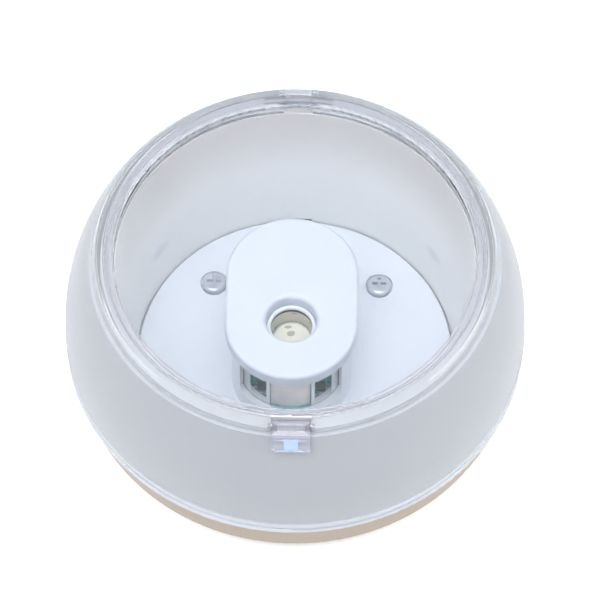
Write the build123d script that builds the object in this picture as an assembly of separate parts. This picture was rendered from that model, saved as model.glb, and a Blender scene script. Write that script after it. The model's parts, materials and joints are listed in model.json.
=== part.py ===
from build123d import *
import os
from math import cos, pi, radians, sin, sqrt

# Round surface-mount horn strobe. Millimetres, +Z up, origin at the centre of the flat back
# face. The strobe looks along +Z, the cover latch is at -Y and the cover hinge at +Y.

# Driving dimensions of the body
BODY_R = 60.0            # radius of the sphere that the base and the bowl follow
BODY_Z = 23.0            # height of that sphere's centre above the back face
BASE_TOP = 16.3
BOWL_BOTTOM = 16.7
BAND_TOP = 21.5          # top of the polished band round the bowl's foot
BAND_R = 60.3
BEAD_R = 0.75
BOWL_TOP = 52.4
BOWL_WALL = 2.0
BASE_WALL = 2.2
COVER_TOP = 55.6
SEAM_R = 45.6            # inner radius where the cover meets the inner wall
SEAM_Z = 49.9
FLOOR_R = 42.0
FLOOR_Z = 4.8            # top of the white floor plate
FLOOR_T = 1.6
GAP = 0.2                # clearance between neighbours that only touch in use
FOOT_Z = 5.7             # below this height the base tapers in to its flat back
FOOT_R = 53.8            # radius of the back face

# Driving dimensions of the tower
TOWER_X = -0.8            # the tower stands a little off the centre
TOWER_TOP = 32.8
TOWER_HALF = 17.2        # half width of the cap
TOWER_C = 7.3            # the two half rounds are centred at y = -TOWER_C and +TOWER_C
SHELL_HALF = 15.8
SHELL_WALL = 1.6
SHELL_TOP = 28.7
BOARD_Z = 9.6            # underside of the main board
BOARD_T = 1.6
BOARD_TOP = BOARD_Z + BOARD_T
LED_Z = 22.4             # light-emitting face
WELL_R = 6.5             # round light well in the cap
WELL_Y = -6.7            # the well and the lamp are centred here
RING_TOP = TOWER_TOP - 3.7
OPENING_HALF = 12.5      # half width of the opening for the field wiring

# Fixings
TRAY_X, TRAY_Y = 22.4, 21.2
BOX_PCD_R = 44.45
HINGE_Y = 49.9
LATCH_Y = -49.6
LATCH_HALF = 4.65        # half width of the latch
PIN_Z = 53.6
PIN_R = 0.5
PIN_RUN_R = 0.55
LUG_R = 1.0
CLIP_ANGLES = (32, 148, 212, 328)
TRAY_POINTS = [(x, y) for x in (-TRAY_X, TRAY_X) for y in (-TRAY_Y, TRAY_Y)]
AXES = (0, 90, 180, 270)

os.makedirs("parts", exist_ok=True)


def save(name, shape):
    """Writes one sub-part, a solid or a list of separate solids, to its own STEP file."""
    if isinstance(shape, list):
        shape = Compound(children=shape)
    export_step(shape, f"parts/{name}.step")


def sphere_radius(z, radius=BODY_R):
    """Radius of the body's sphere, or of one concentric with it, at height z."""
    return sqrt(radius**2 - (z - BODY_Z) ** 2)


def zone(radius, z0, z1):
    """Slice of a sphere about the body's centre, between two heights."""
    ball = Pos(0, 0, BODY_Z) * Sphere(radius)
    slab = Pos(0, 0, (z0 + z1) / 2) * Cylinder(radius + 1, z1 - z0)
    return ball & slab


def disc(radius, z0, z1, x=0.0, y=0.0):
    """Upright cylinder between two heights."""
    return Pos(x, y, (z0 + z1) / 2) * Cylinder(radius, z1 - z0)


def tube(outer, inner, z0, z1, x=0.0, y=0.0):
    """Upright tube between two heights."""
    return disc(outer, z0, z1, x, y) - disc(inner, z0 - 1, z1 + 1, x, y)


def block(x0, x1, y0, y1, z0, z1):
    """Box from its six limits."""
    return Pos((x0 + x1) / 2, (y0 + y1) / 2, (z0 + z1) / 2) * Box(x1 - x0, y1 - y0, z1 - z0)


def stadium(half, z0, z1):
    """Solid with the tower's racetrack outline, of the given half width."""
    outline = Rot(0, 0, 90) * SlotCenterToCenter(2 * TOWER_C, 2 * half)
    return Pos(0, 0, z0) * extrude(outline, z1 - z0)


def at_tower(shape):
    """Moves a shape or a list of shapes, modelled about the centre, to the tower's place."""
    if isinstance(shape, list):
        return [at_tower(each) for each in shape]
    return Pos(TOWER_X, 0, 0) * shape


def turned(points):
    """Ring or disc made by turning a closed outline of (radius, height) points about Z."""
    outline = make_face(Polyline(*[(r, 0, z) for r, z in points], close=True))
    return revolve(outline, Axis.Z, 360)


def bar_x(y, z, radius, x0, x1):
    """Round bar along X."""
    return Pos((x0 + x1) / 2, y, z) * (Rot(0, 90, 0) * Cylinder(radius, x1 - x0))


def at_angles(radius, angles):
    """Points on a circle."""
    return [(radius * cos(radians(a)), radius * sin(radians(a))) for a in angles]


# ---------------------------------------------------------------- base and floor


def base():
    """Back box: dished wall, flat back, screw bosses, wiring opening and four wall hooks."""
    foot_top = sphere_radius(FOOT_Z)
    body = zone(BODY_R, 0, BASE_TOP)
    body &= turned([(0, 0), (FOOT_R, 0), (foot_top, FOOT_Z), (62, FOOT_Z), (62, 20), (0, 20)])
    hollow = zone(BODY_R - BASE_WALL, BASE_WALL, BASE_TOP + 1)
    hollow &= turned([
        (0, BASE_WALL),
        (FOOT_R - 0.9, BASE_WALL),
        (foot_top - 2.3, FOOT_Z),
        (62, FOOT_Z),
        (62, 20),
        (0, 20),
    ])
    body -= hollow
    body += tube(57.0, 55.6, 8.0, 18.4)
    body += tube(40.4, 38.4, BASE_WALL, FLOOR_Z - FLOOR_T)
    for x, y in TRAY_POINTS:
        body += disc(3.6, BASE_WALL, FLOOR_Z - FLOOR_T, x, y)
        body -= disc(1.55, -1, FLOOR_Z, x, y)
    for x, y in at_angles(BOX_PCD_R, AXES):
        body -= disc(2.25, -1, BASE_WALL + 1, x, y)
    post = block(46.7, 48.1, -4, 4, BASE_WALL - 0.5, 20.4)
    nose = extrude(
        Plane.XZ.offset(-3) * make_face(
            Polyline((46.7, 19.0), (45.6, 19.0), (46.7, 20.4), close=True)
        ),
        6,
    )
    for angle in CLIP_ANGLES:
        body += Rot(0, 0, angle) * (post + nose)
    body -= at_tower(stadium(OPENING_HALF, -1, BASE_WALL + 1))
    return body


def floor_plate():
    """White plate that closes the wiring space and carries the tower."""
    plate = disc(FLOOR_R, FLOOR_Z - FLOOR_T, FLOOR_Z)
    plate = chamfer(plate.edges().group_by(Axis.Z)[-1], 0.4)
    plate -= at_tower(stadium(OPENING_HALF, 0, FLOOR_Z + 1))
    for x, y in TRAY_POINTS:
        plate -= disc(1.9, 0, FLOOR_Z + 1, x, y)
        plate -= disc(3.8, FLOOR_Z - 0.7, FLOOR_Z + 1, x, y)
    for x, y in TOWER_SCREWS:
        plate -= at_tower(disc(1.4, 0, FLOOR_Z + 1, x, y))
    return plate


def pan_screw(head_r, head_h, shank_r, length):
    """Pan-head screw with a cross recess, head up, seated at z = 0."""
    head = disc(head_r, 0, head_h)
    head = fillet(head.edges().group_by(Axis.Z)[-1], head_h * 0.6)
    screw = head + disc(shank_r, -length, 0.1)
    screw = chamfer(screw.edges().group_by(Axis.Z)[0], shank_r * 0.4)
    arm, half = head_r * 0.55, head_r * 0.13
    screw -= block(-arm, arm, -half, half, head_h * 0.35, head_h + 1)
    screw -= block(-half, half, -arm, arm, head_h * 0.35, head_h + 1)
    return screw


# ---------------------------------------------------------------- bowl


def bowl():
    """Frosted outer shell with its polished foot band, latch catch and hinge lug."""
    shell = zone(BODY_R, BOWL_BOTTOM, BOWL_TOP)
    for z in (BOWL_BOTTOM + BEAD_R, BAND_TOP - BEAD_R):
        shell += Pos(0, 0, z) * Torus(BAND_R - BEAD_R, BEAD_R)
    shell -= zone(BODY_R - BOWL_WALL, BOWL_BOTTOM - 1, BOWL_TOP + 1)
    ledge_z = SEAM_Z - 1.7 - GAP
    shell += turned([
        (sphere_radius(ledge_z, 58.5), ledge_z),
        (47.8, ledge_z),
        (47.8, ledge_z - 1.2),
        (sphere_radius(ledge_z - 3.2, 58.5), ledge_z - 3.2),
    ])
    catch_z = 51.75
    front = sphere_radius(catch_z)
    shell += block(-1.5, 1.5, -front - 1.1, -front + 1, catch_z - 0.45, catch_z + 0.45)
    shell -= bar_x(HINGE_Y, PIN_Z, 2.0, -15, 15)
    shell += block(-3.2, 3.2, HINGE_Y - 0.25, 52.0, BOWL_TOP - 2.5, BOWL_TOP)
    shell += block(-3.2, 3.2, HINGE_Y - 0.25, HINGE_Y + LUG_R, BOWL_TOP - 1.5, PIN_Z)
    shell += bar_x(HINGE_Y, PIN_Z, LUG_R, -3.2, 3.2)
    shell -= bar_x(HINGE_Y, PIN_Z, PIN_RUN_R, -5, 5)
    return shell


def inner_wall():
    """Frosted inner cone from the floor plate up to the cover seam, with flange, key and lugs."""
    foot_r, foot_z, wall = FLOOR_R + GAP, BASE_WALL + GAP, 1.8
    slope = (SEAM_R - foot_r) / (SEAM_Z - foot_z)
    cone = turned([
        (foot_r, foot_z),
        (SEAM_R, SEAM_Z),
        (49.4, SEAM_Z),
        (49.4, SEAM_Z - 1.7),
        (SEAM_R + wall - 1.7 * slope, SEAM_Z - 1.7),
        (foot_r + wall, foot_z),
    ])
    cone += block(-3.4, 3.4, 46.1, 47.3, SEAM_Z - 0.5, SEAM_Z + 1.4)
    lug_z = 17.8
    lug_r = foot_r + slope * (lug_z - foot_z) + wall
    lug = block(lug_r - 0.6, lug_r + 1.3, -3, 3, lug_z - 0.8, lug_z + 0.8)
    for angle in CLIP_ANGLES:
        cone += Rot(0, 0, angle) * lug
    for x, y in at_angles(BOX_PCD_R, AXES):
        cone -= disc(4.4, 0, BASE_WALL + 3.0, x, y)
    return cone


def base_gasket():
    """Flat silicone ring between the base and the bowl."""
    return tube(59.2, 57.9, BASE_TOP, BOWL_BOTTOM)


# ---------------------------------------------------------------- cover


def cover():
    """Clear cover: recessed window, upstanding ring, skirt, hinge recess and latch notch."""
    window_top, window_z = 53.0, 51.5
    lens = turned([
        (0, window_z),
        (45.9, window_z),
        (45.9, SEAM_Z + GAP),
        (47.5, SEAM_Z + GAP),
        (47.5, BOWL_TOP + GAP),
        (51.1, BOWL_TOP + GAP),
        (51.5, BOWL_TOP + GAP + 0.5),
        (50.5, COVER_TOP - 0.5),
        (49.9, COVER_TOP),
        (48.6, COVER_TOP),
        (48.4, COVER_TOP - 0.5),
        (47.9, COVER_TOP - 0.5),
        (47.7, COVER_TOP),
        (46.3, COVER_TOP),
        (45.9, COVER_TOP - 0.4),
        (45.7, window_top),
        (0, window_top),
    ])
    lens -= block(-3.4, 3.4, 48.6, 53, 49, PIN_Z + 1.15)
    lens -= block(-3.8, 3.8, 44, 48.6, 49, window_z)
    notch = LATCH_HALF + 0.25
    lens -= block(-notch, notch, -53, -48.1, 49, 56)
    lens -= bar_x(HINGE_Y, PIN_Z, PIN_R, -5.1, 5.1)
    lens -= bar_x(LATCH_Y, PIN_Z, PIN_R, -notch - 0.8, notch + 0.8)
    return lens


def side_cut(points, half):
    """Prism across the latch, from its outline in the YZ plane."""
    face = make_face(Polyline(*points, close=True))
    return extrude(Plane.YZ.offset(-half) * face, 2 * half)


def cover_latch():
    """Clear latch: pivoted head, arm down the outside of the bowl, catch pocket, finger lip."""
    shoulder_y, shoulder_z = -53.7, PIN_Z - 0.1
    lip_y, lip_z = -55.5, 50.9
    slope = (shoulder_y - lip_y) / (shoulder_z - lip_z)
    arm = side_cut([
        (LATCH_Y, PIN_Z + 1.25),
        (-51.9, PIN_Z + 1.25),
        (-52.9, PIN_Z + 0.8),
        (shoulder_y, shoulder_z),
        (lip_y, lip_z),
        (lip_y + 0.2, lip_z - 0.4),
        (-54.6, lip_z - 0.5),
        (-53.7, 51.4),
        (-52.6, 52.9),
        (-51.6, PIN_Z - 0.5),
        (-51.0, PIN_Z - 0.95),
        (LATCH_Y, PIN_Z - 0.95),
    ], LATCH_HALF)
    front = block(-LATCH_HALF, LATCH_HALF, -60, -40, lip_z - 0.5, 60)
    arm &= fillet(front.edges().filter_by(Axis.Y).group_by(Axis.Z)[0], 1.0)
    latch = arm + bar_x(LATCH_Y, PIN_Z, 1.2, -LATCH_HALF, LATCH_HALF)
    latch -= bar_x(LATCH_Y, PIN_Z, PIN_RUN_R, -LATCH_HALF - 1, LATCH_HALF + 1)
    low, high = 51.0, 52.8
    skin = 0.65
    latch -= side_cut([
        (-50.0, low),
        (lip_y + slope * (low - lip_z) + skin, low),
        (lip_y + slope * (high - lip_z) + skin, high),
        (-50.0, high),
    ], 1.8)
    latch -= side_cut([
        (-60.0, low + 0.1),
        (lip_y + slope * (low + 0.1 - lip_z) + 0.2, low + 0.1),
        (lip_y + slope * (high + 0.4 - lip_z) + 0.2, high + 0.4),
        (-60.0, high + 0.4),
    ], 1.7)
    latch -= block(-3.4, 3.4, -51.9, -50.3, PIN_Z + 0.8, 56)
    return latch


def cover_seal():
    """Soft ring in the channel under the cover's flange, lower beside the hinge."""
    return tube(49.2, 47.7, SEAM_Z, BOWL_TOP) - block(-9, 9, 40, 53, BOWL_TOP - 1, 60)


# ---------------------------------------------------------------- tower

TOWER_SCREWS = [(0, -21.4), (0, 21.4), (-14.0, 0), (14.0, 0)]


def tower_cap():
    """White racetrack lid with the round light well."""
    lid = stadium(TOWER_HALF, SHELL_TOP + 0.1, TOWER_TOP)
    lid = fillet(lid.edges().group_by(Axis.Z)[-1], 0.9)
    lid -= stadium(TOWER_HALF - 1.4, SHELL_TOP - 1, TOWER_TOP - 2.4)
    lid += disc(WELL_R + 1.0, RING_TOP - 0.5, TOWER_TOP - 2, 0, WELL_Y)
    lid -= disc(WELL_R, RING_TOP - 1, TOWER_TOP + 1, 0, WELL_Y)
    rim = [e for e in lid.edges().filter_by(GeomType.CIRCLE) if abs(e.radius - WELL_R) < 0.01]
    rim.sort(key=lambda e: e.center().Z)
    return fillet(rim[-1], 1.3)


def tower_shell():
    """White wall of the tower: open front, board ledge, top flange and four screw bosses."""
    shell = stadium(SHELL_HALF, FLOOR_Z, SHELL_TOP)
    shell += stadium(SHELL_HALF + 0.7, SHELL_TOP - 1.3, SHELL_TOP)
    inside = SHELL_HALF - SHELL_WALL
    shell -= stadium(inside, BOARD_Z - 0.1, SHELL_TOP + 1)
    shell -= stadium(OPENING_HALF + 0.3, FLOOR_Z - 1, BOARD_Z)
    for x, y in TOWER_SCREWS:
        shell -= disc(1.05, FLOOR_Z - 1, FLOOR_Z + 3.8, x, y)
    shell -= block(-13.2, 13.2, -30, -14, BOARD_TOP + 0.3, SHELL_TOP - 1.3)
    slot = block(-0.7, 0.7, 0, 12, 16.5, 24.0)
    for angle in range(-60, 61, 20):
        shell -= Pos(0, TOWER_C, 0) * (Rot(0, 0, angle) * (Pos(0, 10, 0) * slot))
    return shell


def led_frame():
    """White panel in the tower's open front, with two windows beside the heat sink."""
    outer, wall = 14.0, 1.2
    z0, z1 = BOARD_TOP + 0.1, SHELL_TOP - 1.4
    panel = tube(outer, outer - wall, z0, z1, 0, -TOWER_C)
    panel &= block(-12.4, 12.4, -30, -11.0, z0 - 1, z1 + 1)
    panel -= block(-5.4, 5.4, -30, -15, z0 - 1, z1 - 1.2)
    for side in (-1, 1):
        near, far = sorted((side * 6.3, side * 10.6))
        panel -= block(near, far, -30, -11, z0 + 0.9, z1 - 1.2)
    return panel


def heat_sink():
    """Aluminium block with a recess for the light board, a rounded front and rear fins."""
    z0, z1, seat_z = BOARD_TOP + 0.1, 25.5, LED_Z - 1.6
    column = disc(13.3, z0, z1, 0, -TOWER_C) & block(-5.2, 5.2, -30, -3.2, z0, z1)
    for n in range(4):
        y = -8.2 + 1.4 * n
        column -= block(-6, 6, y - 0.35, y + 0.35, z0 + 3, seat_z - 2)
    column -= disc(7.4, seat_z, z1 + 1, 0, WELL_Y)
    return column


def led_board():
    """Round metal-core board under the light source."""
    board = disc(7.2, LED_Z - 1.6, LED_Z - 0.6, 0, WELL_Y)
    for side in (-1, 1):
        board -= disc(1.1, 0, 40, side * 7.3, WELL_Y)
    return board


def led_substrate():
    """Light source's ceramic carrier, round with four flats."""
    tile = disc(6.3, LED_Z - 0.6, LED_Z - 0.25, 0, WELL_Y)
    return tile & block(-5.9, 5.9, WELL_Y - 5.9, WELL_Y + 5.9, 0, 40)


def led_emitter():
    """Round phosphor pad."""
    return disc(4.8, LED_Z - 0.25, LED_Z, 0, WELL_Y)


def led_dam():
    """Low white dam round the phosphor."""
    z = LED_Z - 0.25
    dam = turned([(4.82, z), (5.2, z), (5.15, z + 0.4), (4.9, z + 0.4)])
    return Pos(0, WELL_Y, 0) * dam


def led_reflector():
    """Bright tube round the light source."""
    top = RING_TOP - 1.4
    tube_wall = turned([
        (5.3, LED_Z - 0.2),
        (5.45, top - 0.8),
        (5.6, top),
        (6.1, top),
        (6.1, LED_Z - 0.2),
    ])
    return Pos(0, WELL_Y, 0) * tube_wall


def well_gasket():
    """Dark flat ring between the reflector and the white ring above it."""
    return tube(6.1, 5.5, RING_TOP - 1.4, RING_TOP - 0.8, 0, WELL_Y)


def well_ring():
    """White ring that finishes the top of the reflector inside the light well."""
    z = RING_TOP - 0.8
    ring = turned([(5.4, z), (5.45, z + 0.65), (5.6, z + 0.8), (6.2, z + 0.8), (6.35, z + 0.6), (6.35, z)])
    return Pos(0, WELL_Y, 0) * ring


def main_board():
    """Racetrack circuit board lying on the ledge in the tower."""
    board = stadium(SHELL_HALF - SHELL_WALL - 0.15, BOARD_Z, BOARD_TOP)
    for x, y in ((-11.2, 8.5), (11.2, 8.5)):
        board -= disc(1.1, 0, 20, x, y)
    return board


def driver_board():
    """Upright circuit board between the heat sink and the horn."""
    return block(-12.4, 12.4, -0.8, 0.8, BOARD_TOP, LED_Z - 2.0)


def side_boards():
    """Two small upright circuit boards, one either side of the heat sink."""
    board = block(5.6, 11.2, -13.2, -11.8, BOARD_TOP, LED_Z - 2.0)
    return [board, mirror(board, Plane.YZ)]


def board_chips():
    """Moulded parts on both boards, one solid each."""
    z = BOARD_TOP
    return [
        block(6.6, 9.0, -15.8, -13.8, z, z + 1.1),
        block(-8.8, -6.4, -15.8, -13.8, z, z + 1.0),
        block(-9.8, -5.9, -2.3, -0.8, 14.0, 19.0),
        block(6.2, 10.2, -2.0, -0.8, 13.5, 17.0),
        block(6.6, 9.4, -14.1, -13.2, 17.0, 20.2),
        block(-9.6, -6.6, -14.0, -13.2, 15.6, 18.4),
    ]


def power_coil():
    """Shielded inductor of the light driver."""
    return fillet(block(-12.2, -6.4, -9.6, -3.8, BOARD_TOP, BOARD_TOP + 4).edges().filter_by(Axis.Z), 1)


def storage_capacitor():
    """Upright electrolytic capacitor."""
    can = disc(3.15, BOARD_TOP, BOARD_TOP + 9, 9.3, -5.4)
    return fillet(can.edges().group_by(Axis.Z)[-1], 0.5)


# ---------------------------------------------------------------- horn

HORN_Y = 11.2
HORN_R = 10.0
LEAD_X = (-3.0, 3.0)


def horn_cup():
    """Lower half of the piezo horn: cup, diaphragm seat and three feet."""
    cup = disc(HORN_R, 15.4, 22.0, 0, HORN_Y) - disc(HORN_R - 1.2, 16.4, 23, 0, HORN_Y)
    cup += tube(HORN_R - 1.1, HORN_R - 2.0, 16.0, 20.4, 0, HORN_Y)
    for x, y in at_angles(HORN_R - 1.6, (90, 210, 330)):
        cup += disc(0.9, BOARD_TOP, 15.6, x, y + HORN_Y)
    for x in LEAD_X:
        cup -= disc(0.65, 15, 17, x, HORN_Y - 2)
    return cup


def horn_disc():
    """Brass diaphragm of the horn."""
    return disc(HORN_R - 1.3, 20.4, 20.7, 0, HORN_Y)


def horn_ceramic():
    """Silvered ceramic wafer under the diaphragm."""
    return disc(6.2, 20.15, 20.4, 0, HORN_Y)


def horn_cap():
    """Resonator lid of the horn with its round sound outlet."""
    lid = disc(HORN_R, 22.0, 26.4, 0, HORN_Y)
    lid -= disc(HORN_R - 1.2, 21.5, 25.4, 0, HORN_Y)
    lid += tube(HORN_R - 1.3, HORN_R - 2.0, 20.7, 25.5, 0, HORN_Y)
    lid -= disc(2.6, 20, 27, 0, HORN_Y)
    return lid


def lead(x):
    """One insulated lead from the ceramic wafer, out through the cup's floor, to the board."""
    line = FilletPolyline(
        (x, HORN_Y - 2, 20.1),
        (x, HORN_Y - 2, 13.2),
        (x, 1.0, 13.2),
        radius=2.2,
    )
    start = Plane(origin=line @ 0, z_dir=line % 0)
    return sweep(start * Circle(0.45), path=line)


def horn_leads():
    """The two horn leads."""
    return [lead(x) for x in LEAD_X]


# ---------------------------------------------------------------- field wiring


def terminal_block():
    """Four-way terminal block that hangs under the main board, open towards the back."""
    body = block(-10.4, 10.4, -4.4, 4.4, 1.0, BOARD_Z)
    for x in TERMINAL_X:
        body -= disc(1.7, 0, 6.4, x, 1.6)
        body -= block(x - 1.6, x + 1.6, -3.6, -0.9, 0, 7.0)
    return body


def terminal_screws():
    """Four slotted clamp screws, seen from the back."""
    screws = []
    for x in TERMINAL_X:
        screw = disc(1.6, 2.2, 6.3, x, 1.6)
        screw -= block(x - 0.3, x + 0.3, 0, 4, 2, 3.0)
        screws.append(screw)
    return screws


def terminal_clamps():
    """Four plated wire clamps inside the terminal block."""
    clamps = []
    for x in TERMINAL_X:
        cage = block(x - 1.5, x + 1.5, -3.5, -1.0, 3.0, 6.9)
        clamps.append(cage - block(x - 1.1, x + 1.1, -3.1, -1.4, 2, 8))
    return clamps


TERMINAL_X = (-7.5, -2.5, 2.5, 7.5)
TONE_X, VOLUME_X, SWITCH_Y = -1.3, 1.3, -13.0
LEVEL_Y = 12.6


def setting_switch():
    """Two-way switch housing under the main board."""
    body = block(-3.2, 3.2, SWITCH_Y - 3, SWITCH_Y + 3, 6.6, BOARD_Z)
    for x in (TONE_X, VOLUME_X):
        body -= block(x - 0.7, x + 0.7, SWITCH_Y - 1.9, SWITCH_Y + 1.9, 6, 8.2)
    return body


def setting_slider(x):
    """Small slider, at the -Y end of its slot."""
    foot = block(x - 0.6, x + 0.6, SWITCH_Y - 1.8, SWITCH_Y + 0.2, 7.2, 8.1)
    return foot + block(x - 0.5, x + 0.5, SWITCH_Y - 1.5, SWITCH_Y - 0.3, 6.0, 7.5)


def level_switch():
    """Housing of the light-output selector under the main board."""
    body = block(-5.2, 5.2, LEVEL_Y - 2.4, LEVEL_Y + 2.4, 6.4, BOARD_Z)
    body -= block(-4.4, 4.4, LEVEL_Y - 1.2, LEVEL_Y + 1.2, 6, 8.4)
    return body


def level_slider():
    """Selector knob, at the -X end of its slot."""
    foot = block(-4.2, -0.4, LEVEL_Y - 1.1, LEVEL_Y + 1.1, 7.2, 8.3)
    return foot + block(-3.2, -1.4, LEVEL_Y - 0.9, LEVEL_Y + 0.9, 4.6, 7.5)


# ---------------------------------------------------------------- write every piece

TRAY_SCREW = pan_screw(3.4, 1.9, 1.5, FLOOR_Z - 1.1)
TOWER_SCREW = Rot(180, 0, 0) * pan_screw(2.2, 1.0, 1.0, 5.0)

save("base", base())
save("floor_plate", floor_plate())
save("tray_screws", [Pos(x, y, FLOOR_Z - 0.7) * TRAY_SCREW for x, y in TRAY_POINTS])
save("tower_screws", at_tower([
    Pos(x, y, FLOOR_Z - FLOOR_T) * TOWER_SCREW for x, y in TOWER_SCREWS
]))
save("bowl", bowl())
save("inner_wall", inner_wall())
save("base_gasket", base_gasket())
save("cover", cover())
save("cover_seal", cover_seal())
save("hinge_pin", bar_x(HINGE_Y, PIN_Z, PIN_R, -5.0, 5.0))
save("cover_latch", cover_latch())
save("latch_pin", bar_x(LATCH_Y, PIN_Z, PIN_R, -LATCH_HALF - 1.0, LATCH_HALF + 1.0))
save("tower_cap", at_tower(tower_cap()))
save("tower_shell", at_tower(tower_shell()))
save("led_frame", at_tower(led_frame()))
save("heat_sink", at_tower(heat_sink()))
save("led_board", at_tower(led_board()))
save("led_substrate", at_tower(led_substrate()))
save("led_emitter", at_tower(led_emitter()))
save("led_dam", at_tower(led_dam()))
save("led_reflector", at_tower(led_reflector()))
save("well_gasket", at_tower(well_gasket()))
save("well_ring", at_tower(well_ring()))
save("main_board", at_tower(main_board()))
save("driver_board", at_tower(driver_board()))
save("side_boards", at_tower(side_boards()))
save("board_chips", at_tower(board_chips()))
save("power_coil", at_tower(power_coil()))
save("storage_capacitor", at_tower(storage_capacitor()))
save("horn_cup", at_tower(horn_cup()))
save("horn_disc", at_tower(horn_disc()))
save("horn_ceramic", at_tower(horn_ceramic()))
save("horn_cap", at_tower(horn_cap()))
save("horn_leads", at_tower(horn_leads()))
save("terminal_block", at_tower(terminal_block()))
save("terminal_screws", at_tower(terminal_screws()))
save("terminal_clamps", at_tower(terminal_clamps()))
save("setting_switch", at_tower(setting_switch()))
save("tone_slider", at_tower(setting_slider(TONE_X)))
save("volume_slider", at_tower(setting_slider(VOLUME_X)))
save("level_switch", at_tower(level_switch()))
save("level_slider", at_tower(level_slider()))
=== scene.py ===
import bmesh
import bpy
import json
from math import cos, pi, radians, sin
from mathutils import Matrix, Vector


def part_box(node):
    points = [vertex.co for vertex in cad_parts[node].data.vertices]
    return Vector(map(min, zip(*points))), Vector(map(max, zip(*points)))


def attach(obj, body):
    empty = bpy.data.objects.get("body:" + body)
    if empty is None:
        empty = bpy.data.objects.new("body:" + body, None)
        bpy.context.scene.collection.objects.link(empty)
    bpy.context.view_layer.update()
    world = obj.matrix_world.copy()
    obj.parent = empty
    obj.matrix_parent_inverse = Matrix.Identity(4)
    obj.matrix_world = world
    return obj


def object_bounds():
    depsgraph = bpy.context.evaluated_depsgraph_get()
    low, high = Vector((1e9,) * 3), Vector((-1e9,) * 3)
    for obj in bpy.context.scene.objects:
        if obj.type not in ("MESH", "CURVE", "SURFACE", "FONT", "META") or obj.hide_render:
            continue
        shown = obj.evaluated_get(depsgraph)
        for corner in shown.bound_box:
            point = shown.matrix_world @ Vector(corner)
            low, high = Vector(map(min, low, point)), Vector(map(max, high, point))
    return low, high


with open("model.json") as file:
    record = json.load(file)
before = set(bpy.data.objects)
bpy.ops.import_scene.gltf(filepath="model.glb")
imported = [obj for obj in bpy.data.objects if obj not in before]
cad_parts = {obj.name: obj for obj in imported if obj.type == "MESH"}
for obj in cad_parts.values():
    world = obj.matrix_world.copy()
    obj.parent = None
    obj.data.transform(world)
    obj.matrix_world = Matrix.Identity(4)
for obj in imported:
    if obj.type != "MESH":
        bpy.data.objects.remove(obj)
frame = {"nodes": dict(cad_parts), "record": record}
CAD_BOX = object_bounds()
NODES = frame["nodes"]

# ---------------------------------------------------------------- camera, light, floor

BODY_CENTRE = Vector((0, 0, 0.023))
CAMERA_DISTANCE = 0.72
CAMERA_ELEVATION = radians(58.525)
CAMERA_AZIMUTH = radians(1.1)
CAMERA_LENS = 164.8
CAMERA_SHIFT = (0.00815, 0.0287)

LIGHT_SIZE = 0.8
# Name, place, power in watts and colour of each square light
LIGHTS = (
    ("key", (-0.1, -0.4, 1.05), 12.0, (1.0, 1.0, 1.0)),
    ("left", (-1.2, -0.1, 0.55), 6.2, (1.0, 0.97, 0.9)),
    ("right", (1.2, -0.1, 0.55), 9.0, (1.0, 0.97, 0.9)),
)

# Surroundings: colour low in front, colour at the top and back, and the way between them
WORLD_NEAR = (0.7, 0.75, 0.83)
WORLD_FAR = (1.16, 1.18, 1.2)
WORLD_DIRECTION = (0, 0.8, 0.6)

FLOOR_HALF = 6.0
FLOOR_DROP = 0.0001


def make_camera():
    """Camera looking down at the front of the strobe."""
    data = bpy.data.cameras.new("camera")
    data.lens = CAMERA_LENS
    data.sensor_width = 36
    data.shift_x, data.shift_y = CAMERA_SHIFT
    data.clip_start = 0.01
    camera = bpy.data.objects.new("camera", data)
    bpy.context.scene.collection.objects.link(camera)
    flat = CAMERA_DISTANCE * cos(CAMERA_ELEVATION)
    offset = Vector((
        flat * sin(CAMERA_AZIMUTH),
        -flat * cos(CAMERA_AZIMUTH),
        CAMERA_DISTANCE * sin(CAMERA_ELEVATION),
    ))
    camera.location = BODY_CENTRE + offset
    camera.rotation_euler = (-offset).to_track_quat("-Z", "Y").to_euler()
    bpy.context.scene.camera = camera


def area_light(name, place, power, colour):
    """Soft square light aimed at the strobe."""
    data = bpy.data.lights.new(name, "AREA")
    data.size = LIGHT_SIZE
    data.energy = power
    data.color = colour
    light = bpy.data.objects.new(name, data)
    light.location = place
    light.rotation_euler = (BODY_CENTRE - Vector(place)).to_track_quat("-Z", "Y").to_euler()
    bpy.context.scene.collection.objects.link(light)


def make_world():
    """White surroundings that fade from the top and back to the low front."""
    world = bpy.data.worlds.new("studio")
    world.use_nodes = True
    tree = world.node_tree
    coordinates = tree.nodes.new("ShaderNodeTexCoord")
    facing = tree.nodes.new("ShaderNodeVectorMath")
    facing.operation = "DOT_PRODUCT"
    facing.inputs[1].default_value = WORLD_DIRECTION
    ramp = tree.nodes.new("ShaderNodeValToRGB")
    ramp.color_ramp.elements[0].position = 0.15
    ramp.color_ramp.elements[0].color = (*WORLD_NEAR, 1)
    ramp.color_ramp.elements[1].position = 0.75
    ramp.color_ramp.elements[1].color = (*WORLD_FAR, 1)
    half = tree.nodes.new("ShaderNodeMapRange")
    half.inputs["From Min"].default_value = -1
    tree.links.new(coordinates.outputs["Generated"], facing.inputs[0])
    tree.links.new(facing.outputs["Value"], half.inputs["Value"])
    tree.links.new(half.outputs["Result"], ramp.inputs["Fac"])
    tree.links.new(ramp.outputs["Color"], tree.nodes["Background"].inputs["Color"])
    bpy.context.scene.world = world


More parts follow.
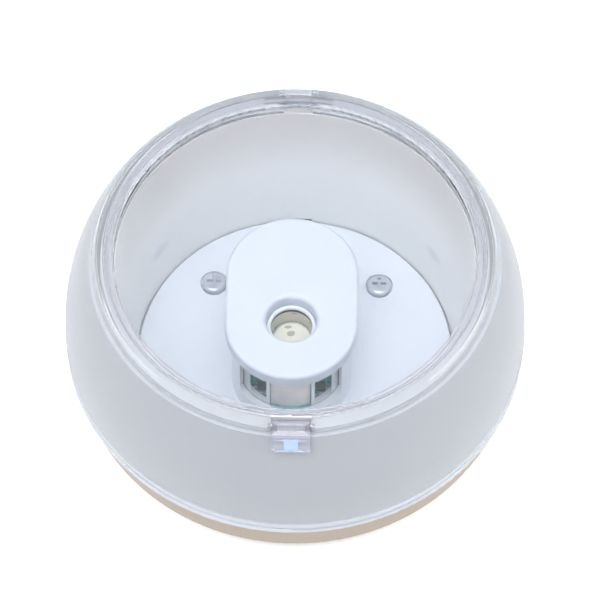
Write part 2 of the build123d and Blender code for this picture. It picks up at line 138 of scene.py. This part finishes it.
def make_floor():
    """Plain pale floor under the strobe."""
    half = FLOOR_HALF
    mesh = bpy.data.meshes.new("floor")
    corners = [(-half, -half, 0), (half, -half, 0), (half, half, 0), (-half, half, 0)]
    mesh.from_pydata(corners, [], [(0, 1, 2, 3)])
    floor = bpy.data.objects.new("floor", mesh)
    floor.location.z = CAD_BOX[0][2] - FLOOR_DROP
    bpy.context.scene.collection.objects.link(floor)
    mesh.materials.append(plastic("floor_paper", (250, 250, 250), 0.8, 0.0, 300, 0.00001))


# ---------------------------------------------------------------- materials

# Where the base's four hooks stand behind the inner wall, and the size of the patch of painted
# shade where each shows through
HOOK_RADIUS = 0.0435
HOOK_HEIGHT = 0.0178
HOOK_ANGLE = radians(32)
HOOK_SHADE = (0.008, 0.005, 0.003)

# Where painted shade darkens the inner wall: towards the back, and upwards
WALL_SHADE_Y = (-0.005, 0.03)
WALL_SHADE_Z = (0.024, 0.048)

# Band of painted shadow inside the reflector, under the gasket, measured down from its top
REFLECTOR_SHADOW_BAND = (0.0007, 0.0004)

# Noise values between which colours and roughness run
NOISE_LOW, NOISE_HIGH = 0.3, 0.7


def new_material(name):
    """Empty material with a Principled shader; returns the material, its tree and the shader."""
    material = bpy.data.materials.new(name)
    material.use_nodes = True
    tree = material.node_tree
    return material, tree, tree.nodes["Principled BSDF"]


def noise(tree, scale, detail, stretch=(1, 1, 1)):
    """Noise texture in object space; scale is in features per metre."""
    coordinates = tree.nodes.new("ShaderNodeTexCoord")
    mapping = tree.nodes.new("ShaderNodeMapping")
    mapping.inputs["Scale"].default_value = stretch
    texture = tree.nodes.new("ShaderNodeTexNoise")
    texture.inputs["Scale"].default_value = scale
    texture.inputs["Detail"].default_value = detail
    tree.links.new(coordinates.outputs["Object"], mapping.inputs["Vector"])
    tree.links.new(mapping.outputs["Vector"], texture.inputs["Vector"])
    return texture.outputs["Fac"]


def spread(tree, value, low, high):
    """Maps noise onto a range."""
    node = tree.nodes.new("ShaderNodeMapRange")
    node.inputs["From Min"].default_value = NOISE_LOW
    node.inputs["From Max"].default_value = NOISE_HIGH
    node.inputs["To Min"].default_value = low
    node.inputs["To Max"].default_value = high
    tree.links.new(value, node.inputs["Value"])
    return node.outputs["Result"]


def blend_colours(tree, value, dark, light):
    """Colour that runs from dark to light as the noise rises."""
    ramp = tree.nodes.new("ShaderNodeValToRGB")
    ramp.color_ramp.elements[0].position = NOISE_LOW
    ramp.color_ramp.elements[0].color = (*dark, 1)
    ramp.color_ramp.elements[1].position = NOISE_HIGH
    ramp.color_ramp.elements[1].color = (*light, 1)
    tree.links.new(value, ramp.inputs["Fac"])
    return ramp.outputs["Color"]


def bump(tree, shader, value, strength, depth):
    """Bump of the given depth in metres."""
    node = tree.nodes.new("ShaderNodeBump")
    node.inputs["Strength"].default_value = strength
    node.inputs["Distance"].default_value = depth
    tree.links.new(value, node.inputs["Height"])
    tree.links.new(node.outputs["Normal"], shader.inputs["Normal"])


def rise(tree, axis, start, end):
    """Runs from 0 to 1 between two places along an axis of the object."""
    coordinates = tree.nodes.new("ShaderNodeTexCoord")
    split = tree.nodes.new("ShaderNodeSeparateXYZ")
    fade = tree.nodes.new("ShaderNodeMapRange")
    fade.interpolation_type = "SMOOTHSTEP"
    fade.inputs["From Min"].default_value = start
    fade.inputs["From Max"].default_value = end
    tree.links.new(coordinates.outputs["Object"], split.inputs["Vector"])
    tree.links.new(split.outputs[axis], fade.inputs["Value"])
    return fade.outputs["Result"]


def tint(tree, shader, amount, rgb):
    """Lays a colour over the base colour by the given amount."""
    mix = tree.nodes.new("ShaderNodeMix")
    mix.data_type = "RGBA"
    mix.inputs["B"].default_value = (*linear(rgb), 1)
    tree.links.new(amount, mix.inputs["Factor"])
    tree.links.new(shader.inputs["Base Color"].links[0].from_socket, mix.inputs["A"])
    tree.links.new(mix.outputs["Result"], shader.inputs["Base Color"])


def linear(rgb):
    """Scene-linear colour from 0 to 255 display values."""
    return tuple(((c / 255 + 0.055) / 1.055) ** 2.4 if c > 10 else c / 3294.6 for c in rgb)


def plastic(
    name, rgb, roughness=0.45, variation=0.03, grain=2600, depth=0.00004, span=0.06, **sockets
):
    """Moulded plastic with faint colour drift and a fine spark-eroded texture."""
    material, tree, shader = new_material(name)
    base = linear(rgb)
    dark = tuple(c * (1 - variation) for c in base)
    drift = noise(tree, 60, 4)
    tree.links.new(blend_colours(tree, drift, dark, base), shader.inputs["Base Color"])
    fine = noise(tree, grain, 2)
    tree.links.new(
        spread(tree, fine, roughness - span, roughness + span), shader.inputs["Roughness"]
    )
    bump(tree, shader, fine, 0.35, depth)
    for socket, value in sockets.items():
        shader.inputs[socket.replace("_", " ")].default_value = value
    return material


def metal(name, rgb, roughness=0.3, stretch=(1, 1, 12), grain=1500, metallic=1.0):
    """Metal with fine lines or blasting in one direction and slight tarnish."""
    material, tree, shader = new_material(name)
    base = linear(rgb)
    dark = tuple(c * 0.82 for c in base)
    drift = noise(tree, 180, 4)
    tree.links.new(blend_colours(tree, drift, dark, base), shader.inputs["Base Color"])
    fine = noise(tree, grain, 2, stretch=stretch)
    tree.links.new(
        spread(tree, fine, roughness - 0.08, roughness + 0.1), shader.inputs["Roughness"]
    )
    shader.inputs["Metallic"].default_value = metallic
    bump(tree, shader, fine, 0.3, 0.00003)
    return material


def circuit_board_material():
    """Green-blue solder mask with faint copper tracks beneath it."""
    material, tree, shader = new_material("circuit_board")
    coordinates = tree.nodes.new("ShaderNodeTexCoord")
    tracks = tree.nodes.new("ShaderNodeTexBrick")
    tracks.inputs["Scale"].default_value = 240
    tracks.inputs["Mortar Size"].default_value = 0.06
    tracks.inputs["Color1"].default_value = (*linear((104, 184, 196)), 1)
    tracks.inputs["Color2"].default_value = (*linear((94, 172, 186)), 1)
    tracks.inputs["Mortar"].default_value = (*linear((142, 202, 208)), 1)
    tree.links.new(coordinates.outputs["Object"], tracks.inputs["Vector"])
    tree.links.new(tracks.outputs["Color"], shader.inputs["Base Color"])
    fine = noise(tree, 900, 2)
    tree.links.new(spread(tree, fine, 0.28, 0.4), shader.inputs["Roughness"])
    bump(tree, shader, tracks.outputs["Fac"], 0.4, 0.00003)
    return material


def frosted_wall_material():
    """Frosted plastic of the inner wall: painted shade high at the back, and faint painted shade
    of four hooks behind it.
    """
    material = plastic(
        "frosted_wall", (254, 255, 255), 0.6, 0.01, 1800, 0.00003,
        Transmission_Weight=0.08, IOR=1.3,
    )
    tree = material.node_tree
    shader = tree.nodes["Principled BSDF"]
    coordinates = tree.nodes.new("ShaderNodeTexCoord")
    steps = (
        ("ABSOLUTE", None),
        ("SUBTRACT", (HOOK_RADIUS * cos(HOOK_ANGLE), HOOK_RADIUS * sin(HOOK_ANGLE), HOOK_HEIGHT)),
        ("DIVIDE", HOOK_SHADE),
        ("LENGTH", None),
    )
    vector = coordinates.outputs["Object"]
    for operation, value in steps:
        node = tree.nodes.new("ShaderNodeVectorMath")
        node.operation = operation
        tree.links.new(vector, node.inputs[0])
        if value:
            node.inputs[1].default_value = value
        vector = node.outputs[0]
    fade = tree.nodes.new("ShaderNodeMapRange")
    fade.interpolation_type = "SMOOTHSTEP"
    fade.inputs["From Min"].default_value = 0.2
    fade.inputs["To Min"].default_value = 1.0
    fade.inputs["To Max"].default_value = 0.0
    tree.links.new(node.outputs["Value"], fade.inputs["Value"])
    # Painted shade: a soft darker patch on the wall round each of the four hooks behind it
    tint(tree, shader, fade.outputs["Result"], (240, 242, 247))
    # Painted shade: the wall is tinted darker high up at the back
    back = tree.nodes.new("ShaderNodeMath")
    back.operation = "MULTIPLY"
    tree.links.new(rise(tree, "Y", *WALL_SHADE_Y), back.inputs[0])
    tree.links.new(rise(tree, "Z", *WALL_SHADE_Z), back.inputs[1])
    tint(tree, shader, back.outputs["Value"], (230, 225, 224))
    return material


def reflector_material():
    """Satin metal with a painted shadow in the last half millimetre below the gasket."""
    material = metal("reflector_metal", (212, 212, 205), 0.34, (1, 1, 1), 500)
    tree = material.node_tree
    shader = tree.nodes["Principled BSDF"]
    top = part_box("led_reflector")[1][2]
    start, end = (top - depth for depth in REFLECTOR_SHADOW_BAND)
    # Painted shadow: dark blue-grey band at the top of the reflector, under the gasket
    tint(tree, shader, rise(tree, "Z", start, end), (60, 66, 92))
    return material


def make_materials():
    """Every material by name: one for each slot of the record, and some for single faces."""
    return {
        # Painted shade and a painted warm reflection from below darken and warm the foot beyond
        # its own ivory tone
        "ivory_plastic": plastic("ivory_plastic", (134, 121, 107), 0.5, 0.05, depth=0.00006),
        "white_plastic": plastic("white_plastic", (240, 245, 252), 0.42),
        "white_cap": plastic("white_cap", (218, 224, 236), 0.42),
        "screw_steel": metal("screw_steel", (214, 219, 228), 0.34, metallic=0.5),
        "pin_steel": metal("pin_steel", (190, 192, 196), 0.22, stretch=(14, 1, 1)),
        "frosted_plastic": frosted_wall_material(),
        "frosted_bowl": plastic(
            "frosted_bowl", (176, 180, 187), 0.42, 0.02, 1800, 0.00003,
            Transmission_Weight=0.5, IOR=1.4,
        ),
        "polished_edge": plastic(
            "polished_edge", (224, 230, 240), 0.08, 0.01, 300, 0.00001, 0.03,
            Transmission_Weight=0.6, IOR=1.47,
        ),
        "clear_plastic": plastic(
            "clear_plastic", (248, 250, 253), 0.02, 0.005, 120, 0.000004, 0.012,
            Transmission_Weight=1.0, IOR=1.45,
        ),
        # Painted shade: greyer copies of the clear plastic for the cover's ring and flange
        "clear_ring_painted_shade": plastic(
            "clear_ring_painted_shade", (202, 203, 212), 0.1, 0.01, 160, 0.000006, 0.03,
            Transmission_Weight=0.85, IOR=1.42,
        ),
        "clear_flange_painted_shade": plastic(
            "clear_flange_painted_shade", (226, 229, 233), 0.1, 0.01, 160, 0.000006, 0.03,
            Transmission_Weight=0.85, IOR=1.42,
        ),
        # Painted shade: a greyer copy of the clear plastic for the latch
        "clear_latch_painted_shade": plastic(
            "clear_latch_painted_shade", (206, 206, 216), 0.12, 0.01, 160, 0.000006, 0.03,
            Transmission_Weight=0.75, IOR=1.42,
        ),
        # Painted light: a pale, less clear face on the cover's latch notch
        "notch_painted_light": plastic("notch_painted_light", (216, 213, 224), 0.3, 0.02, Transmission_Weight=0.1),
        # Painted light: a pale blue, less clear face in the latch window
        "latch_window_painted_light": plastic(
            "latch_window_painted_light", (172, 194, 220), 0.12, 0.005, 120, 0.000004, 0.03,
            Transmission_Weight=0.35, IOR=1.45,
        ),
        # Painted shade: a darker grey copy of the clear plastic for the latch's end posts
        "latch_post_painted_shade": plastic(
            "latch_post_painted_shade", (158, 154, 168), 0.1, 0.005, 120, 0.000004, 0.03,
            Transmission_Weight=0.7, IOR=1.45,
        ),
        "silicone": plastic("silicone", (222, 225, 230), 0.6),
        "heat_sink_metal": metal("heat_sink_metal", (246, 240, 238), 0.5, (1, 1, 1), 3000, 0.15),
        "led_board_white": plastic("led_board_white", (238, 238, 234), 0.35),
        "led_ceramic": plastic("led_ceramic", (240, 238, 232), 0.5),
        "phosphor": plastic("phosphor", (255, 253, 236), 0.6, 0.04, 1500, 0.00008),
        "led_mark": plastic("led_mark", (220, 212, 202), 0.6, 0.2, 1500, 0.00004),
        "chip_ceramic": plastic("chip_ceramic", (208, 214, 212), 0.45, 0.08),
        "reflector_metal": reflector_material(),
        "circuit_board": circuit_board_material(),
        "moulded_black": plastic("moulded_black", (44, 44, 48), 0.5),
        "chip_grey": plastic("chip_grey", (112, 124, 130), 0.45),
        "dark_gasket": plastic("dark_gasket", (36, 42, 66), 0.5),
        "ferrite": plastic("ferrite", (124, 126, 130), 0.6, 0.1),
        "capacitor_can": metal("capacitor_can", (176, 180, 190), 0.35),
        "horn_brass": metal("horn_brass", (214, 184, 112), 0.3, (14, 1, 1)),
        "horn_silver": metal("horn_silver", (210, 210, 206), 0.45, (1, 1, 1), 2500, 0.6),
        "lead_insulation": plastic("lead_insulation", (176, 40, 36), 0.5),
        "terminal_plastic": plastic("terminal_plastic", (62, 132, 92), 0.45),
        "clamp_metal": metal("clamp_metal", (204, 204, 198), 0.3),
    }


MATERIALS = make_materials()

# Nodes whose look differs from that of their record slot
OWN_LOOK = {
    "bowl": "frosted_bowl",
    "tower_cap": "white_cap",
    "well_gasket": "dark_gasket",
    "board_chips": "chip_grey",
    "cover_latch": "clear_latch_painted_shade",
}

# Polished parts of the bowl: the beads at its foot, and its top rim outside the latch catch
BEAD_Z = (0.0167, 0.0216)
BEAD_RADIUS = 0.0598
RIM_Z = 0.0523
CATCH_Y = -0.053

# Parts of the cover: the ring and the flange outside it, above the rim, greyed with painted
# shade, and the notch's face, lit with painted light
RING_RADIUS = 0.0458
FLANGE_RADIUS = 0.0482
NOTCH_HALF = 0.0049
NOTCH_Y = (-0.0485, -0.0478)

# Parts of the latch: the window, pale with painted light, and the posts at its ends, darkened
# with painted shade
WINDOW_HALF = 0.0018
WINDOW_Y = -0.0537
POST_X = 0.0034
POST_BACK = 0.0028


def dress_nodes():
    """Gives every CAD node the procedural material of its record slot, or its own."""
    for row in frame["record"]["subparts"]:
        name = row["node"]
        materials = NODES[name].data.materials
        materials.clear()
        materials.append(MATERIALS[OWN_LOOK.get(name, row["material_slot"])])


def dress_bowl():
    """Polished beads and top rim on the frosted bowl."""
    bowl = NODES["bowl"].data
    bowl.materials.append(MATERIALS["polished_edge"])
    for face in bowl.polygons:
        place = face.center
        on_bead = BEAD_Z[0] < place.z < BEAD_Z[1] and place.xy.length > BEAD_RADIUS
        if on_bead or (place.z > RIM_Z and place.y > CATCH_Y):
            face.material_index = 1


def dress_cover():
    """Painted shade greying the ring and flange, and painted light on the latch notch, of the
    clear cover.
    """
    cover = NODES["cover"].data
    for name in ("notch_painted_light", "clear_ring_painted_shade", "clear_flange_painted_shade"):
        cover.materials.append(MATERIALS[name])
    for face in cover.polygons:
        place = face.center
        # Painted light on the notch's face
        if abs(place.x) < NOTCH_HALF and NOTCH_Y[0] < place.y < NOTCH_Y[1]:
            face.material_index = 1
        # Painted shade on the flange and the ring
        elif place.xy.length > FLANGE_RADIUS and place.z > RIM_Z:
            face.material_index = 3
        elif place.xy.length > RING_RADIUS and place.z > RIM_Z:
            face.material_index = 2


def dress_latch():
    """Painted shade on the end posts, and painted light in the window and on the underside, of
    the clear latch.
    """
    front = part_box("cover_latch")[0][1]
    latch = NODES["cover_latch"].data
    for name in ("latch_post_painted_shade", "latch_window_painted_light", "polished_edge"):
        latch.materials.append(MATERIALS[name])
    for face in latch.polygons:
        place, normal = face.center, face.normal
        # Painted light: the latch's underside is lightened with the pale polished edge material
        if normal.z < -0.6:
            face.material_index = 3
        # Painted light in the window
        elif abs(place.x) < WINDOW_HALF and place.y < WINDOW_Y and normal.y < -0.5:
            face.material_index = 2
        # Painted shade on the end posts
        elif abs(place.x) > POST_X and place.y > front + POST_BACK:
            face.material_index = 1


# ---------------------------------------------------------------- detail pieces


def add_piece(name, form, material):
    """Turns a finished bmesh into a piece that rides on the housing."""
    bmesh.ops.recalc_face_normals(form, faces=form.faces)
    mesh = bpy.data.meshes.new(name)
    form.to_mesh(mesh)
    form.free()
    mesh.materials.append(material)
    piece = bpy.data.objects.new(name, mesh)
    bpy.context.scene.collection.objects.link(piece)
    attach(piece, "housing")


def add_block(form, centre, size, edge):
    """Adds a bevelled block to a bmesh."""
    made = bmesh.ops.create_cube(form, size=1)["verts"]
    bmesh.ops.scale(form, verts=made, vec=size)
    bmesh.ops.translate(form, verts=made, vec=centre)
    edges = list({e for v in made for e in v.link_edges})
    bmesh.ops.bevel(form, geom=edges, offset=edge, segments=2, affect="EDGES", clamp_overlap=True)


def add_lathe(form, centre, profile, turns=28, stretch=(1, 1), wobble=0.0):
    """Adds a turned form; profile is (radius, height) from its outer foot to its middle."""
    rings = []
    for radius, height in profile:
        ring = []
        for n in range(turns):
            angle = 2 * pi * n / turns
            uneven = radius * (1 + wobble * (sin(2 * angle + 0.6) + 0.5 * sin(3 * angle)))
            ring.append(form.verts.new((
                centre[0] + uneven * cos(angle) * stretch[0],
                centre[1] + uneven * sin(angle) * stretch[1],
                centre[2] + height,
            )))
        rings.append(ring)
    for lower, upper in zip(rings, rings[1:]):
        for n in range(turns):
            after = (n + 1) % turns
            form.faces.new((lower[n], lower[after], upper[after], upper[n]))
    form.faces.new(rings[0])
    form.faces.new(rings[-1])


LED_MARK_THICK = 0.00002
# Place from the middle of the phosphor, radius and stretch of each dim spot
LED_MARKS = (
    (-0.0010, 0.0037, 0.0007, (1.3, 0.7)),
    (-0.0002, 0.0017, 0.0009, (1.1, 0.95)),
)


def led_marks():
    """Two dim spots on the phosphor, over the bond pads below it."""
    low, high = (Vector(corner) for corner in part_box("led_emitter"))
    middle = (low + high) / 2
    form = bmesh.new()
    for x, y, radius, stretch in LED_MARKS:
        place = (middle.x + x, middle.y + y, high.z)
        profile = [
            (radius, 0.0),
            (radius * 0.97, LED_MARK_THICK),
            (radius * 0.4, LED_MARK_THICK * 1.6),
        ]
        add_lathe(form, place, profile, stretch=stretch, wobble=0.08)
    add_piece("led_marks", form, MATERIALS["led_mark"])


# Small parts on the main board, in millimetres from its middle line; those on top are mirrored
BOARD_PARTS_TOP = [
    (6.4, -17.0), (7.8, -16.6), (6.4, -18.2), (9.4, -14.9), (10.6, -12.6), (6.3, -14.9),
]
BOARD_PARTS_BELOW = [
    (-9.2, -7.6), (-6.6, -7.6), (-4.0, -7.6), (5.2, -7.6), (7.8, -7.6), (7.8, 8.2), (-7.8, 8.2),
]
BOARD_PART_SIZE = Vector((0.0010, 0.0005, 0.0004))


def board_parts():
    """Small ceramic parts with tinned ends, on both faces of the main board."""
    low, high = (Vector(corner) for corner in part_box("main_board"))
    centre_x = (low.x + high.x) / 2
    size = BOARD_PART_SIZE
    end_size = Vector((size.x * 0.3, size.y * 1.15, size.z * 1.05))
    bodies, ends = bmesh.new(), bmesh.new()
    places = [(side * x, y, high.z + size.z / 2) for side in (-1, 1) for x, y in BOARD_PARTS_TOP]
    places += [(x, y, low.z - size.z / 2) for x, y in BOARD_PARTS_BELOW]
    for x, y, z in places:
        place = Vector((centre_x + x / 1000, y / 1000, z))
        add_block(bodies, place, size, 0.00006)
        for side in (-1, 1):
            end = place + Vector((side * size.x * 0.62, 0, 0))
            add_block(ends, end, end_size, 0.0001)
    add_piece("board_part_bodies", bodies, MATERIALS["chip_ceramic"])
    add_piece("board_part_ends", ends, MATERIALS["clamp_metal"])


# Profiles hang from the underside of the main board
PAD_PROFILE = [(0.0007, 0), (0.00068, -0.00005), (0.0002, -0.00007)]
SOLDER_PROFILE = [
    (0.0009, 0), (0.00072, -0.0002), (0.0004, -0.00055), (0.0003, -0.0011), (0.0001, -0.0012),
]
PAD_COUNT = 5
PAD_STEP = 0.0024
PAD_Y = 0.0068
SOLDER_X = (-0.009, 0.009)
SOLDER_Y = (-0.0105, 0.0106)


def test_pads():
    """Row of tinned test pads and the solder joints under the main board."""
    low, high = (Vector(corner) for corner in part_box("main_board"))
    centre_x = (low.x + high.x) / 2
    form = bmesh.new()
    for n in range(PAD_COUNT):
        offset = (n - (PAD_COUNT - 1) / 2) * PAD_STEP
        add_lathe(form, (centre_x + offset, PAD_Y, low.z), PAD_PROFILE)
    for x in SOLDER_X:
        for y in SOLDER_Y:
            add_lathe(form, (centre_x + x, y, low.z), SOLDER_PROFILE)
    add_piece("test_pads", form, MATERIALS["clamp_metal"])


# ---------------------------------------------------------------- build


make_camera()
make_world()
for light in LIGHTS:
    area_light(*light)
make_floor()
dress_nodes()
dress_bowl()
dress_cover()
dress_latch()
led_marks()
board_parts()
test_pads()
bpy.context.scene.view_settings.view_transform = "Standard"
